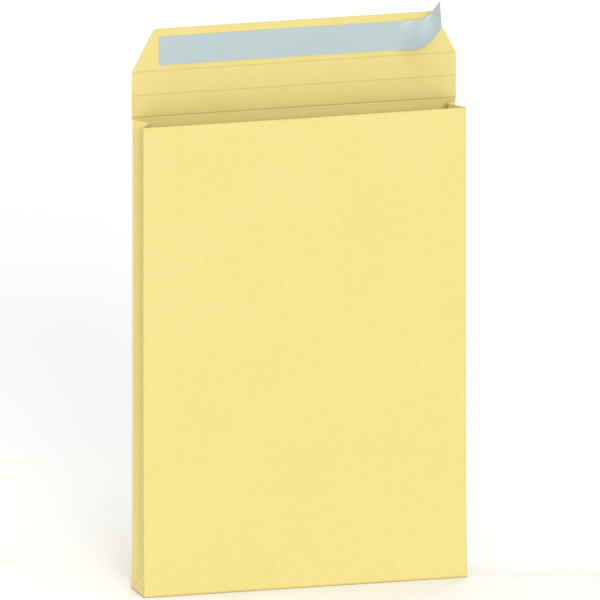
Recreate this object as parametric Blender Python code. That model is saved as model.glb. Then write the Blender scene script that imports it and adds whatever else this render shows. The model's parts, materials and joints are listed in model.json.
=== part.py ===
"""Gusseted envelope with a block bottom, standing open, and its peel-and-seal flap raised.

The paper is one folded and glued sheet: front panel, two side gussets, back panel, flap and
block bottom. The flap carries a band of adhesive under a release liner whose right end has been
peeled away. Metres, +Z up. The origin is on the ground under the middle of the base, the front
panel faces -Y, and the back panel with its flap is at +Y.
"""

import math

import bpy
import numpy as np

# The sheet of paper and its folds
PAPER = 0.0002
FOLD_RADIUS = 0.0004
CREASE_GAP = 0.0009

# Front and back panel, and the side gussets
PANEL_WIDTH = 0.280
PANEL_HEIGHT = 0.400
GUSSET_DEPTH = 0.040
MOUTH_DEPTH = 0.033
DRAW_IN_HEIGHT = 0.050
SEAM_LAP = 0.015
SEAM_END_GAP = 0.004

# Block bottom: two leaves with mitred ends, glued over the end tucks
LEAF_REACH = 0.034
TUCK_CREASE_START = 0.002

# Flap above the back panel
FLAP_HEIGHT = 0.076
FLAP_SHOULDER = 0.040
FLAP_TOP_WIDTH = 0.242
FLAP_CORNER_RADIUS = 0.0015
FIRST_SCORE = 0.020
SCORE_WIDTH = 0.0016
SCORE_RELIEF = 0.00012
FLAP_FOLD = 0.0012
FOLD_RELIEF = 0.0002

# Release liner and the adhesive under it
LINER = 0.0001
LINER_WIDTH = 0.0243
LINER_TOP_MARGIN = 0.0068
LINER_END_MARGIN = 0.0046
ADHESIVE = 0.0001
ADHESIVE_EDGE = 0.0020
LAYER_GAP = 0.0003

# The liner's peeled end
PEEL_LINE_X = 0.0857
PEELED_LENGTH = 0.052
PEEL_SLANT = 0.0090
PEEL_BEND = math.radians(68.0)
PEEL_TILT = math.radians(61.0)

# How finely the curved stretches are divided
FOLD_STEPS = 2
TUCK_ROWS = 4
WALL_ROWS = 16
CORNER_STEPS = 5
PEEL_STEPS = 28
LINER_ACROSS = 4

HALF_WIDTH = PANEL_WIDTH / 2
BASE_HALF = GUSSET_DEPTH / 2
MOUTH_HALF = MOUTH_DEPTH / 2
LEAF = PAPER
SHELL_FLOOR = 2 * LEAF
FLOOR_TOP = SHELL_FLOOR + PAPER
OUTER_FOLD = FOLD_RADIUS + PAPER
FLAP_FACE_Y = MOUTH_HALF - PAPER


def half_depth(z):
    """Half the distance between the panels at height z: the base is fully open, and the walls
    draw together towards the mouth along a falling exponential."""
    full = 1.0 - math.exp(-PANEL_HEIGHT / DRAW_IN_HEIGHT)
    share = (1.0 - math.exp(-z / DRAW_IN_HEIGHT)) / full
    return BASE_HALF + (MOUTH_HALF - BASE_HALF) * min(share, 1.0)


def tuck_apex_height():
    """Height at which the two 45 degree creases of a gusset meet on its centre crease.

    A crease point is as far up as it is in from the edge, so the height there is the half depth.
    """
    low = 0.0
    high = max(BASE_HALF, MOUTH_HALF)
    for _ in range(60):
        middle = (low + high) / 2
        if half_depth(middle) > middle:
            low = middle
        else:
            high = middle
    return (low + high) / 2


def crease_inset(z):
    """How far the gusset's centre crease stands in from the panels' edges at height z, so that
    each half of the gusset keeps its width."""
    gusset_half = max(BASE_HALF, MOUTH_HALF)
    return math.sqrt(max(gusset_half ** 2 - half_depth(z) ** 2, 0.0))


APEX_HEIGHT = tuck_apex_height()
APEX_INSET = crease_inset(APEX_HEIGHT)


def gusset_crease(z):
    """The crease point between a gusset's edge and its middle at height z: inset and half width.

    Under the apex it runs along the 45 degree crease of the end tuck, and above it along the
    rounded centre crease.
    """
    rounding = CREASE_GAP / 2
    if z >= APEX_HEIGHT:
        return crease_inset(z), rounding
    share = z / APEX_HEIGHT
    widest = BASE_HALF - TUCK_CREASE_START
    return APEX_INSET * share, widest + (rounding - widest) * share


def fillet(before, corner, after, radius, steps):
    """Points that round a corner of a plane outline, limited by its shorter side."""
    before, corner, after = (np.asarray(p, dtype=float) for p in (before, corner, after))
    to_before = before - corner
    to_after = after - corner
    length_before = np.linalg.norm(to_before)
    length_after = np.linalg.norm(to_after)
    to_before /= length_before
    to_after /= length_after
    half_angle = math.acos(np.clip(to_before @ to_after, -1.0, 1.0)) / 2
    reach = min(radius / math.tan(half_angle), 0.45 * length_before, 0.45 * length_after)
    start = corner + to_before * reach
    end = corner + to_after * reach
    points = []
    for step in range(steps + 1):
        t = step / steps
        curve = (1 - t) ** 2 * start + 2 * t * (1 - t) * corner + t ** 2 * end
        points.append(curve)
    return points


def section_outline(z):
    """The envelope's outer outline at height z, anticlockwise seen from above.

    Its points keep their order at every height: front panel, right gusset, back panel with the
    two ends of the seam lap, left gusset.
    """
    depth = half_depth(z)
    inset, half_gap = gusset_crease(z)
    front_left = (-HALF_WIDTH, -depth)
    front_right = (HALF_WIDTH, -depth)
    back_right = (HALF_WIDTH, depth)
    back_left = (-HALF_WIDTH, depth)
    right_front_crease = (HALF_WIDTH - inset, -half_gap)
    right_back_crease = (HALF_WIDTH - inset, half_gap)
    left_front_crease = (-HALF_WIDTH + inset, -half_gap)
    left_back_crease = (-HALF_WIDTH + inset, half_gap)
    lap_edge = -HALF_WIDTH + SEAM_LAP
    outline = []
    outline += fillet(left_front_crease, front_left, front_right, OUTER_FOLD, FOLD_STEPS)
    outline += fillet(front_left, front_right, right_front_crease, OUTER_FOLD, FOLD_STEPS)
    outline += [right_front_crease, right_back_crease]
    outline += fillet(right_back_crease, back_right, back_left, OUTER_FOLD, FOLD_STEPS)
    outline += [(lap_edge + PAPER, depth), (lap_edge, depth)]
    outline += fillet(back_right, back_left, left_back_crease, OUTER_FOLD, FOLD_STEPS)
    outline += [left_back_crease, left_front_crease]
    return np.array([tuple(point) for point in outline])


FOLD_POINTS = FOLD_STEPS + 1
BACK_FIRST = 3 * FOLD_POINTS + 1
LAP_END = BACK_FIRST + 1
LAP_START = LAP_END + 1
BACK_LAST = LAP_START + 1


def inward(outline, distance):
    """The same outline moved inwards by a distance, with mitred corners."""
    ahead = np.roll(outline, -1, axis=0) - outline
    ahead /= np.linalg.norm(ahead, axis=1)[:, None]
    behind = np.roll(ahead, 1, axis=0)
    normal_ahead = np.stack([-ahead[:, 1], ahead[:, 0]], axis=1)
    normal_behind = np.stack([-behind[:, 1], behind[:, 0]], axis=1)
    middle = normal_ahead + normal_behind
    scale = 2.0 / np.sum(middle * middle, axis=1)
    return outline + middle * (scale * distance)[:, None]


def wall_heights():
    """Heights of the rows of the walls above the base fold: closer where the walls curve."""
    tuck = [APEX_HEIGHT * (row + 1) / TUCK_ROWS for row in range(TUCK_ROWS)]
    falloff = 1.0 - math.exp(-PANEL_HEIGHT / (2 * DRAW_IN_HEIGHT))
    above = []
    for row in range(1, WALL_ROWS + 1):
        share = row / WALL_ROWS
        z = -2 * DRAW_IN_HEIGHT * math.log(1.0 - share * falloff)
        if z > APEX_HEIGHT * 1.05:
            above.append(z)
    seam_end = PANEL_HEIGHT - SEAM_END_GAP
    above = [z for z in above if z < seam_end * 0.97]
    return tuck + above + [seam_end - PAPER, seam_end, PANEL_HEIGHT]


def outer_rows():
    """Rows of points over the outside, from the flat of the base round its fold to the mouth."""
    rows = []
    for step in range(FOLD_STEPS + 1):
        angle = math.pi / 2 * step / FOLD_STEPS
        z = SHELL_FLOOR + OUTER_FOLD * (1 - math.cos(angle))
        outline = inward(section_outline(z), OUTER_FOLD * (1 - math.sin(angle)))
        rows.append(np.column_stack([outline, np.full(len(outline), z)]))
    for z in wall_heights():
        outline = section_outline(z)
        rows.append(np.column_stack([outline, np.full(len(outline), z)]))
    return rows


def inner_rows():
    """Rows of points over the inside, from the floor to the mouth, with the seam lap's step."""
    heights = [FLOOR_TOP, SHELL_FLOOR + OUTER_FOLD + PAPER] + wall_heights()
    seam_end = PANEL_HEIGHT - SEAM_END_GAP
    rows = []
    for z in heights:
        outline = inward(section_outline(z), PAPER)
        if z < seam_end:
            outline[LAP_START:BACK_LAST + 1, 1] -= PAPER
        rows.append(np.column_stack([outline, np.full(len(outline), z)]))
    return rows


def flap_half_width(z):
    """Half width of the flap at a height above the mouth: straight to the shoulder, then tapered
    to the top, whose corners are rounded."""
    top_half = FLAP_TOP_WIDTH / 2
    if z <= FLAP_SHOULDER:
        return HALF_WIDTH
    share = (z - FLAP_SHOULDER) / (FLAP_HEIGHT - FLAP_SHOULDER)
    taper = HALF_WIDTH + (top_half - HALF_WIDTH) * share
    below_top = FLAP_HEIGHT - z
    if below_top >= FLAP_CORNER_RADIUS:
        return taper
    rise = FLAP_CORNER_RADIUS - below_top
    return taper - FLAP_CORNER_RADIUS + math.sqrt(max(FLAP_CORNER_RADIUS ** 2 - rise ** 2, 0.0))


def flap_heights():
    """Heights above the mouth of the flap's rows: its fold, the scores, the round corners."""
    heights = [FLAP_FOLD, 2 * FLAP_FOLD]
    for score in (FIRST_SCORE, FLAP_SHOULDER):
        heights += [score - SCORE_WIDTH / 2, score, score + SCORE_WIDTH / 2]
    for step in range(CORNER_STEPS + 1):
        angle = math.pi / 2 * step / CORNER_STEPS
        heights.append(FLAP_HEIGHT - FLAP_CORNER_RADIUS * (1 - math.sin(angle)))
    return sorted(heights)


def flap_rows(columns, surface_y):
    """Rows of points over one face of the flap, from the back panel's own columns."""
    rows = []
    for z in flap_heights():
        relief = {FLAP_FOLD: FOLD_RELIEF, FIRST_SCORE: SCORE_RELIEF,
                  FLAP_SHOULDER: SCORE_RELIEF}.get(z, 0.0)
        across = columns * flap_half_width(z)
        height = np.full(len(columns), PANEL_HEIGHT + z)
        rows.append(np.column_stack([across, np.full(len(columns), surface_y + relief), height]))
    return rows


def split_quad(corners, flip=False):
    """Two triangles of a quad. Both faces of a sheet are split along the same diagonal, so that a
    twisted stretch keeps its thickness."""
    a, b, c, d = corners
    if flip:
        return [[a, c, b], [a, d, c]]
    return [[a, b, c], [a, c, d]]


def envelope_mesh():
    """One closed solid of the folded sheet: outside, inside, mouth rim and flap."""
    points = []
    faces = []

    def add_rows(rows):
        """Store rows of points and give back their numbers, one array per row."""
        numbers = []
        for row in rows:
            first = len(points)
            points.extend(map(tuple, row))
            numbers.append(list(range(first, first + len(row))))
        return numbers

    def skin(lower, upper, closed, flip):
        """Faces between two rows of numbers."""
        count = len(lower) if closed else len(lower) - 1
        for i in range(count):
            j = (i + 1) % len(lower)
            faces.extend(split_quad((lower[i], lower[j], upper[j], upper[i]), flip))

    outside = add_rows(outer_rows())
    inside = add_rows(inner_rows())
    for lower, upper in zip(outside, outside[1:]):
        skin(lower, upper, closed=True, flip=False)
    for lower, upper in zip(inside, inside[1:]):
        skin(lower, upper, closed=True, flip=True)
    faces.append(outside[0][::-1])
    faces.append(inside[0])

    mouth_out = outside[-1]
    mouth_in = inside[-1]
    back = slice(BACK_FIRST, BACK_LAST + 1)
    rim = len(mouth_out)
    for i in range(rim):
        j = (i + 1) % rim
        if BACK_FIRST <= i < BACK_LAST:
            continue
        faces.append([mouth_out[i], mouth_out[j], mouth_in[j], mouth_in[i]])

    panel_x = np.array([points[number][0] for number in mouth_out[back]])
    columns = panel_x / abs(panel_x[0])
    columns[-1] = -1.0
    flap_back = [mouth_out[back]] + add_rows(flap_rows(columns, MOUTH_HALF))
    flap_face = [mouth_in[back]] + add_rows(flap_rows(columns, FLAP_FACE_Y))
    for lower, upper in zip(flap_back, flap_back[1:]):
        skin(lower, upper, closed=False, flip=False)
    for lower, upper in zip(flap_face, flap_face[1:]):
        skin(lower, upper, closed=False, flip=True)
    for end, flip in ((0, False), (-1, True)):
        column_back = [row[end] for row in flap_back]
        column_face = [row[end] for row in flap_face]
        skin(column_back, column_face, closed=False, flip=flip)
    skin(flap_back[-1], flap_face[-1], closed=False, flip=False)

    mesh = bpy.data.meshes.new("envelope_sheet")
    mesh.from_pydata(points, [], faces)
    mesh.update()
    return mesh


def leaf_mesh(name, root_sign, bottom):
    """A leaf of the block bottom: a trapezoid with 45 degree ends, rooted in the fold of the
    front (root_sign -1) or back (root_sign +1) panel, sunk into the layer above it."""
    root = BASE_HALF - OUTER_FOLD
    root_half = HALF_WIDTH - OUTER_FOLD
    depth = LEAF_REACH - OUTER_FOLD
    outline = [
        (-root_half, root),
        (root_half, root),
        (root_half - depth, root - depth),
        (-root_half + depth, root - depth),
    ]
    top = bottom + LEAF + PAPER / 2
    points = [(x, root_sign * y, z) for z in (bottom, top) for x, y in outline]
    faces = [[0, 1, 2, 3], [7, 6, 5, 4]]
    faces += [[i, i + 4, (i + 1) % 4 + 4, (i + 1) % 4] for i in range(4)]
    if root_sign < 0:
        faces = [face[::-1] for face in faces]
    mesh = bpy.data.meshes.new(name)
    mesh.from_pydata(points, [], faces)
    mesh.update()
    return mesh


def peel_frame():
    """Middle line of the peeled end, with its width and face directions, from the peel line on.

    With q the share of the peeled length and e = 1 - (1 - q)^2, the strip has bent forward by e
    times the full bend, and tilted back by e^2 times the full tilt. The tilt grows later than
    the forward way does, so the upper edge never meets the flap. The middle line is the sum of
    its small steps.
    """
    length = PEELED_LENGTH + PEEL_SLANT / 2
    stations = np.linspace(0.0, length, PEEL_STEPS * 4 + 1)
    share = np.minimum(stations / PEELED_LENGTH, 1.0)
    ease = 1.0 - (1.0 - share) ** 2
    bend = (PEEL_BEND * ease)[:, None]
    tilt = (PEEL_TILT * ease ** 2)[:, None]
    right = np.array([[1.0, 0.0, 0.0]])
    forward = np.array([[0.0, -1.0, 0.0]])
    up = np.array([[0.0, 0.0, 1.0]])
    widths = np.cos(tilt) * up - np.sin(tilt) * forward
    outward = np.cos(tilt) * forward + np.sin(tilt) * up
    along = np.cos(bend) * right + np.sin(bend) * outward
    faces = np.cos(bend) * outward - np.sin(bend) * right
    steps = (along[1:] + along[:-1]) / 2 * (stations[1] - stations[0])
    places = np.vstack([np.zeros((1, 3)), np.cumsum(steps, axis=0)])
    return stations, places, widths, faces


def liner_surface(across):
    """Points and face directions along the liner at one place across it, -1 low to +1 high."""
    stations, places, widths, faces = peel_frame()
    end = PEELED_LENGTH + across * PEEL_SLANT / 2
    along = np.linspace(0.0, end, PEEL_STEPS + 1)

    def read(table):
        return np.column_stack([np.interp(along, stations, table[:, k]) for k in range(3)])

    offset = across * LINER_WIDTH / 2
    curved = read(places) + read(widths) * offset
    direction = read(faces)
    left_end = -(FLAP_TOP_WIDTH / 2 - LINER_END_MARGIN) - PEEL_LINE_X
    straight = np.array([[left_end, 0.0, offset]])
    straight_face = np.array([[0.0, -1.0, 0.0]])
    return np.vstack([straight, curved]), np.vstack([straight_face, direction])


def liner_mesh():
    """The release liner: a thin strip, flat on the adhesive, whose right end curls forward."""
    back_rows, front_rows = [], []
    for across in np.linspace(-1.0, 1.0, LINER_ACROSS + 1):
        surface, direction = liner_surface(across)
        back_rows.append(surface)
        front_rows.append(surface + direction * LINER)
    back = np.array(back_rows)
    front = np.array(front_rows)
    rows, columns = back.shape[:2]
    points = [tuple(p) for p in back.reshape(-1, 3)] + [tuple(p) for p in front.reshape(-1, 3)]
    front_first = rows * columns

    def number(row, column, on_front):
        return row * columns + column + (front_first if on_front else 0)

    faces = []
    for r in range(rows - 1):
        for c in range(columns - 1):
            corners = ((r, c), (r, c + 1), (r + 1, c + 1), (r + 1, c))
            faces += split_quad([number(i, j, True) for i, j in corners])
            faces += split_quad([number(i, j, False) for i, j in corners], flip=True)
    border = [(0, c) for c in range(columns)]
    border += [(r, columns - 1) for r in range(1, rows)]
    border += [(rows - 1, c) for c in range(columns - 2, -1, -1)]
    border += [(r, 0) for r in range(rows - 2, 0, -1)]
    for (i, j), (k, m) in zip(border, border[1:] + border[:1]):
        rim = (number(i, j, False), number(k, m, False), number(k, m, True), number(i, j, True))
        faces += split_quad(rim)
    mesh = bpy.data.meshes.new("release_liner")
    mesh.from_pydata(points, [], faces)
    mesh.update()
    return mesh


def adhesive_mesh():
    """The adhesive band: a thin film with feathered long edges, about its own middle."""
    half_length = FLAP_TOP_WIDTH / 2 - LINER_END_MARGIN - ADHESIVE_EDGE
    half_width = LINER_WIDTH / 2 - ADHESIVE_EDGE
    feather = ADHESIVE * 4
    profile = [
        (0.0, -half_width),
        (-ADHESIVE, -half_width + feather),
        (-ADHESIVE, half_width - feather),
        (0.0, half_width),
    ]
    points = [(x, y, z) for x in (-half_length, half_length) for y, z in profile]
    faces = [[0, 1, 2, 3], [7, 6, 5, 4]]
    faces += [[i, i + 4, (i + 1) % 4 + 4, (i + 1) % 4] for i in range(4)]
    mesh = bpy.data.meshes.new("adhesive_band")
    mesh.from_pydata(points, [], faces)
    mesh.update()
    return mesh


def make_material(name, color, roughness):
    """A plain finish in the part's own colour."""
    material = bpy.data.materials.new(name)
    material.use_nodes = True
    shader = material.node_tree.nodes["Principled BSDF"]
    shader.inputs["Base Color"].default_value = (*color, 1.0)
    shader.inputs["Roughness"].default_value = roughness
    shader.inputs["Metallic"].default_value = 0.0
    return material


def add_object(name, mesh, location, parent, material=None):
    """Link an object that carries a mesh, at its place under its parent."""
    item = bpy.data.objects.new(name, mesh)
    bpy.context.scene.collection.objects.link(item)
    item.location = location
    item.parent = parent
    if material is not None:
        mesh.materials.append(material)
    return item


def add_leaf(envelope, name, root_sign, bottom, parent):
    """Glue a leaf of the block bottom to the sheet."""
    leaf = add_object(name, leaf_mesh(name, root_sign, bottom), (0.0, 0.0, 0.0), parent)
    leaf.hide_render = True
    leaf.display_type = "WIRE"
    union = envelope.modifiers.new(name, "BOOLEAN")
    union.operation = "UNION"
    union.solver = "EXACT"
    union.object = leaf


def main():
    """Clear the scene and build the envelope, its adhesive and its liner."""
    for item in list(bpy.data.objects):
        bpy.data.objects.remove(item, do_unlink=True)

    origin = bpy.data.objects.new("envelope_origin", None)
    bpy.context.scene.collection.objects.link(origin)

    paper = make_material("manila_paper", (0.93, 0.79, 0.31), 0.75)
    glue = make_material("clear_adhesive", (0.88, 0.84, 0.62), 0.2)
    release = make_material("release_paper", (0.54, 0.64, 0.65), 0.35)

    sheet = add_object("envelope_sheet", envelope_mesh(), (0.0, 0.0, 0.0), origin, paper)
    add_leaf(sheet, "back_leaf", 1, LEAF, origin)
    add_leaf(sheet, "front_leaf", -1, 0.0, origin)

    band_z = PANEL_HEIGHT + FLAP_HEIGHT - LINER_TOP_MARGIN - LINER_WIDTH / 2
    band_y = FLAP_FACE_Y - LAYER_GAP
    add_object("adhesive_band", adhesive_mesh(), (0.0, band_y, band_z), origin, glue)
    liner_y = band_y - ADHESIVE - LAYER_GAP
    add_object("release_liner", liner_mesh(), (PEEL_LINE_X, liner_y, band_z), origin, release)


main()
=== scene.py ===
"""Looks of a gusseted envelope that stands open on its block bottom.

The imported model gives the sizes. This script lays finely divided paper over it: the folded and
glued manila sheet with its gusset creases, scores and bottom leaves, the band of clear adhesive on
the flap, and the blue-grey release liner whose right end has been peeled away. Metres, +Z up.
"""

from __future__ import annotations

import json
import logging
import math
from dataclasses import dataclass
from enum import Enum

import bpy
import numpy as np
from mathutils import Matrix, Vector


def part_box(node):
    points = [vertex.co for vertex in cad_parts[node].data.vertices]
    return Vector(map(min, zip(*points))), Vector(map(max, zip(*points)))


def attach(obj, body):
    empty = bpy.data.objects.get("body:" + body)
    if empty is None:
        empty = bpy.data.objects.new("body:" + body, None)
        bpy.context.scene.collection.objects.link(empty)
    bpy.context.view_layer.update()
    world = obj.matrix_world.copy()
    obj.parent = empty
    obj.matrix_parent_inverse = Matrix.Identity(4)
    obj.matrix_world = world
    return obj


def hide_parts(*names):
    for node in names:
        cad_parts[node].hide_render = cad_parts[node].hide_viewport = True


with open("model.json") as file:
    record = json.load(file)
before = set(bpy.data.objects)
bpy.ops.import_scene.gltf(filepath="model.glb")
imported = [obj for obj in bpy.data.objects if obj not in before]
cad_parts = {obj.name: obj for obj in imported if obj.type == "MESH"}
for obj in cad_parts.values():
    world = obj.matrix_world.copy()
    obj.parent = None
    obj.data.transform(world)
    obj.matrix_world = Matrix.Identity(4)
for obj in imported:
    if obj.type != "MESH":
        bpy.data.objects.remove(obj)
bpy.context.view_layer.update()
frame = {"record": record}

LOG = logging.getLogger("gusseted_envelope")
BODY = "root"
Triple = tuple[float, float, float]


class Side(Enum):
    """Which long panel a stretch of paper belongs to; the value is its sign along Y."""

    FRONT = -1
    BACK = 1


def smooth(value: np.ndarray) -> np.ndarray:
    """Ease a ramp, clipped to 0 to 1, with level ends: three squares less two cubes."""
    clipped = np.clip(value, 0.0, 1.0)
    return clipped * clipped * (3.0 - 2.0 * clipped)


def bell(distance: np.ndarray, width: float) -> np.ndarray:
    """A bell over a distance: e to the power of minus the square of its share of the width."""
    return np.exp(-(distance / width) ** 2)


def ripple(across: np.ndarray, up: np.ndarray, seed: int, size: float) -> np.ndarray:
    """Slow, irregular waves of paper that has been folded and opened again.

    The height is a sum of five cosines. Each has its own number of waves across and up and its
    own phase, drawn from a seeded generator, and its share falls with the number of waves.

    Args:
        across: position across the sheet, 0 to 1.
        up: position up the sheet, 0 to 1.
        seed: seed of the draws.
        size: root mean square height in metres.

    Returns:
        Heights in metres, of the broadcast shape.
    """
    draws = np.random.default_rng(seed)
    total = np.zeros(np.broadcast(across, up).shape)
    power = 0.0
    for _ in range(5):
        waves_across = draws.uniform(0.4, 2.6)
        waves_up = draws.uniform(0.5, 3.4)
        phase = draws.uniform(0.0, 2.0 * math.pi)
        share = 1.0 / (1.0 + waves_across + waves_up)
        turn = 2.0 * math.pi * (waves_across * across + waves_up * up) + phase
        total = total + share * np.cos(turn)
        power += share * share / 2.0
    return total * size / math.sqrt(power)


@dataclass(frozen=True)
class EnvelopeSizes:
    """The envelope's sizes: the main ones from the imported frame, the small ones named here."""

    half_width: float
    mouth_height: float
    flap_top: float
    flap_face: float
    liner_left: float
    adhesive_low: Triple
    adhesive_high: Triple
    paper: float = 0.0002
    gusset_half: float = 0.020
    draw_in_height: float = 0.050
    fold_reach: float = 0.0013
    crease_gap: float = 0.0006
    tuck_start: float = 0.0020
    base_fold: float = 0.0005
    flap_fold: float = 0.0012
    first_score: float = 0.020
    shoulder: float = 0.040
    shoulder_turn: float = 0.0024
    flap_top_half: float = 0.121
    flap_corner: float = 0.0015
    leaf_reach: float = 0.034
    seam_lap: float = 0.015
    layer_gap: float = 0.0003
    front_belly: float = 0.0009
    back_belly: float = 0.0006
    panel_ripple: float = 0.00022

    @classmethod
    def read(cls, record: dict) -> EnvelopeSizes:
        """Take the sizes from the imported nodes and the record.

        Args:
            record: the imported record, whose pocket opening ends at the mouth.

        Returns:
            The envelope's sizes.
        """
        sheet_low, sheet_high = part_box("envelope_sheet")
        liner_low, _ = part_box("release_liner")
        band_low, band_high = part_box("adhesive_band")
        _, pocket_high = record["physics"]["openings"][0]["box_m"]
        return cls(
            half_width=(sheet_high[0] - sheet_low[0]) / 2,
            mouth_height=pocket_high[2],
            flap_top=sheet_high[2],
            flap_face=band_high[1] + cls.layer_gap,
            liner_left=liner_low[0],
            adhesive_low=tuple(band_low),
            adhesive_high=tuple(band_high),
        )

    @property
    def mouth_half(self) -> float:
        """Half the distance between the panels' outer faces at the mouth."""
        return self.flap_face + self.paper

    @property
    def flap_height(self) -> float:
        """How far the flap stands above the mouth."""
        return self.flap_top - self.mouth_height

    @property
    def shell_floor(self) -> float:
        """Height of the sheet's underside, above the two leaves glued under it."""
        return 2 * self.paper

    def half_depth(self, z: np.ndarray) -> np.ndarray:
        """Half the distance between the panels, drawn in by a falling exponential.

        Args:
            z: heights in metres; above the mouth the panels stay as they are there.

        Returns:
            Half depths in metres, widest at the base.
        """
        full = 1.0 - math.exp(-self.mouth_height / self.draw_in_height)
        share = (1.0 - np.exp(-np.maximum(z, 0.0) / self.draw_in_height)) / full
        return self.gusset_half + (self.mouth_half - self.gusset_half) * np.minimum(share, 1.0)

    def crease_inset(self, z: np.ndarray) -> np.ndarray:
        """How far the crease stands in: the root of gusset half squared less half depth squared."""
        return np.sqrt(np.maximum(self.gusset_half ** 2 - self.half_depth(z) ** 2, 0.0))

    def tuck_apex(self) -> float:
        """Height where the 45 degree tuck creases meet: there the half depth equals the height."""
        heights = np.linspace(0.0, self.gusset_half, 4001)
        return float(heights[np.argmin(np.abs(self.half_depth(heights) - heights))])

    def panel_bow(self, x: np.ndarray, z: np.ndarray, side: Side) -> np.ndarray:
        """How far a long panel bows outwards.

        It is a flat parabola across, fuller towards the mouth, with slow ripples that die out
        at the folds and at the base.

        Args:
            x: places across, in metres.
            z: heights in metres.
            side: the panel.

        Returns:
            Outward offsets in metres.
        """
        share = np.clip(x / self.half_width, -1.0, 1.0)
        free = 1.0 - share ** 2
        up = z / self.mouth_height
        belly, seed = (self.front_belly, 11) if side is Side.FRONT else (self.back_belly, 23)
        waves = ripple((share + 1.0) / 2.0, up, seed, self.panel_ripple)
        return (free * belly * smooth(up * 1.2)
                + np.sqrt(np.maximum(free, 0.0)) * waves * smooth(up * 6.0))


def linked(name: str, data: bpy.types.ID) -> bpy.types.Object:
    """Make an object of a mesh, light or camera.

    Args:
        name: the object's name.
        data: the mesh, light or camera.

    Returns:
        The new object, linked to the scene.
    """
    made = bpy.data.objects.new(name, data)
    bpy.context.scene.collection.objects.link(made)
    return made


def grid_faces(numbers: np.ndarray) -> np.ndarray:
    """Quads over a grid of vertex numbers, row by row.

    Args:
        numbers: array of shape (rows, columns).

    Returns:
        Array of shape (quads, 4), anticlockwise where rows go up and columns go right.
    """
    corners = (numbers[:-1, :-1], numbers[:-1, 1:], numbers[1:, 1:], numbers[1:, :-1])
    return np.column_stack([corner.ravel() for corner in corners])


class SheetMesh:
    """Collects grids of points and their faces, then makes one Blender object of them."""

    SHARP = math.radians(38.0)

    def __init__(self) -> None:
        """Start with no points."""
        self.points: list[np.ndarray] = []
        self.folds: list[np.ndarray] = []
        self.faces: list[list[int]] = []
        self.slots: list[int] = []
        self.count = 0

    def add_points(self, grid: np.ndarray, fold: np.ndarray) -> np.ndarray:
        """Store a grid of points.

        Args:
            grid: points of shape (rows, columns, 3).
            fold: nearness to a fold or cut, 0 to 1, of shape (rows, columns).

        Returns:
            The points' numbers, of shape (rows, columns).
        """
        numbers = self.count + np.arange(fold.size).reshape(fold.shape)
        self.count += fold.size
        self.points.append(grid.reshape(-1, 3))
        self.folds.append(fold.reshape(-1))
        return numbers

    def add_grid(self, numbers: np.ndarray, slot: int = 0) -> None:
        """Face a grid of points.

        Args:
            numbers: the points' numbers, as grid_faces reads them.
            slot: the material slot of the faces.
        """
        quads = grid_faces(numbers)
        self.faces.extend(quads.tolist())
        self.slots.extend([slot] * len(quads))

    def add_cap(self, ring: np.ndarray) -> None:
        """Close a flat ring of numbers with one face."""
        self.faces.append(ring.tolist())
        self.slots.append(0)

    def add_slab(self, near: np.ndarray, far: np.ndarray, fold: np.ndarray,
                 far_slot: int = 0) -> None:
        """Add a thin closed slab between two facing grids of points.

        Args:
            near: points of the side whose faces grid_faces turns outwards.
            far: points of the other side.
            fold: nearness to a fold or cut, for both.
            far_slot: the material slot of the far side.
        """
        front = self.add_points(near, fold)
        back = self.add_points(far, fold)
        self.add_grid(front)
        self.add_grid(back[:, ::-1], far_slot)
        rings = [np.concatenate([grid[0, :-1], grid[:-1, -1], grid[-1, :0:-1], grid[::-1, 0]])
                 for grid in (back, front)]
        self.add_grid(np.stack(rings))

    def build(self, name: str, materials: list[bpy.types.Material]) -> bpy.types.Object:
        """Make the object, with its fold mask as a point attribute.

        Args:
            name: the piece's name.
            materials: its finishes, in slot order.

        Returns:
            The new object, linked to the scene.
        """
        mesh = bpy.data.meshes.new(name)
        mesh.from_pydata(np.vstack(self.points).tolist(), [], self.faces)
        mesh.polygons.foreach_set("material_index", np.array(self.slots, dtype=np.int32))
        fold = mesh.attributes.new("fold", "FLOAT", "POINT")
        fold.data.foreach_set("value", np.concatenate(self.folds).astype(np.float32))
        for material in materials:
            mesh.materials.append(material)
        mesh.shade_smooth()
        mesh.set_sharp_from_angle(angle=self.SHARP)
        mesh.update()
        return linked(name, mesh)


def new_group(name: str, inputs: dict[str, float | Triple],
              outputs: tuple[str, ...]) -> bpy.types.NodeTree:
    """Start a shader node group.

    Args:
        name: the group's name.
        inputs: default value of each input; three numbers make it a vector.
        outputs: names of the outputs, each a number.

    Returns:
        The group, with its input and output nodes named "in" and "out".
    """
    group = bpy.data.node_groups.new(name, "ShaderNodeTree")
    for socket, default in inputs.items():
        kind = "NodeSocketVector" if isinstance(default, tuple) else "NodeSocketFloat"
        made = group.interface.new_socket(socket, in_out="INPUT", socket_type=kind)
        made.default_value = default
    for socket in outputs:
        group.interface.new_socket(socket, in_out="OUTPUT", socket_type="NodeSocketFloat")
    group.nodes.new("NodeGroupInput").name = "in"
    group.nodes.new("NodeGroupOutput").name = "out"
    return group


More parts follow.
